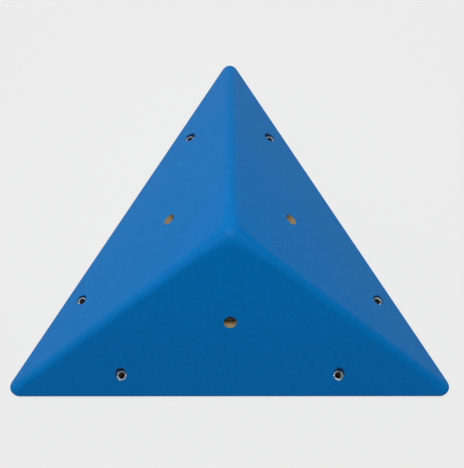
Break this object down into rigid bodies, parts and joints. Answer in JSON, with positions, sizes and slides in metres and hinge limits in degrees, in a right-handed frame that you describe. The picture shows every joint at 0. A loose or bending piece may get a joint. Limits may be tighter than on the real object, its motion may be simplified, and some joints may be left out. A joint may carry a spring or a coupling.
{
  "type": "climbing volume",
  "caption": "Low triangular-pyramid climbing volume of painted plywood, with softened ridges, an open back, counterbored wall screw holes and a bolt hole for a hold on each face.",
  "frame": {"origin": "on the plane of the open back, under the middle of the bounding box", "axes": "+Z points away from the wall towards the apex; the front face looks towards -Y and its base edge runs along X; the opposite base corner points towards +Y"},
  "size_m": [0.4454, 0.3884, 0.1246],
  "materials": {
    "painted_plywood": "matt sand-textured blue climbing paint over plywood",
    "bare_plywood": "sanded birch plywood, unpainted",
    "softwood": "planed softwood, unpainted",
    "zinc_steel": "bright zinc-plated steel"
  },
  "bodies": {
    "root": {"panel_front": "painted_plywood", "base_rail_front": "softwood", "tee_nut_pad_front": "bare_plywood", "tee_nut_front": "zinc_steel", "fixing_washer_front_1": "zinc_steel", "fixing_washer_front_2": "zinc_steel", "rail_screw_front_1": "zinc_steel", "rail_screw_front_2": "zinc_steel", "rail_screw_front_3": "zinc_steel", "pad_screw_front_1": "zinc_steel", "pad_screw_front_2": "zinc_steel", "panel_right": "painted_plywood", "base_rail_right": "softwood", "tee_nut_pad_right": "bare_plywood", "tee_nut_right": "zinc_steel", "fixing_washer_right_1": "zinc_steel", "fixing_washer_right_2": "zinc_steel", "rail_screw_right_1": "zinc_steel", "rail_screw_right_2": "zinc_steel", "rail_screw_right_3": "zinc_steel", "pad_screw_right_1": "zinc_steel", "pad_screw_right_2": "zinc_steel", "panel_left": "painted_plywood", "base_rail_left": "softwood", "tee_nut_pad_left": "bare_plywood", "tee_nut_left": "zinc_steel", "fixing_washer_left_1": "zinc_steel", "fixing_washer_left_2": "zinc_steel", "rail_screw_left_1": "zinc_steel", "rail_screw_left_2": "zinc_steel", "rail_screw_left_3": "zinc_steel", "pad_screw_left_1": "zinc_steel", "pad_screw_left_2": "zinc_steel", "ridge_batten_front_right": "softwood", "batten_screw_front_right_1": "zinc_steel", "batten_screw_front_right_2": "zinc_steel", "batten_screw_front_right_3": "zinc_steel", "batten_screw_front_right_4": "zinc_steel", "ridge_batten_right_left": "softwood", "batten_screw_right_left_1": "zinc_steel", "batten_screw_right_left_2": "zinc_steel", "batten_screw_right_left_3": "zinc_steel", "batten_screw_right_left_4": "zinc_steel", "ridge_batten_left_front": "softwood", "batten_screw_left_front_1": "zinc_steel", "batten_screw_left_front_2": "zinc_steel", "batten_screw_left_front_3": "zinc_steel", "batten_screw_left_front_4": "zinc_steel"}
  },
  "joints": []
}
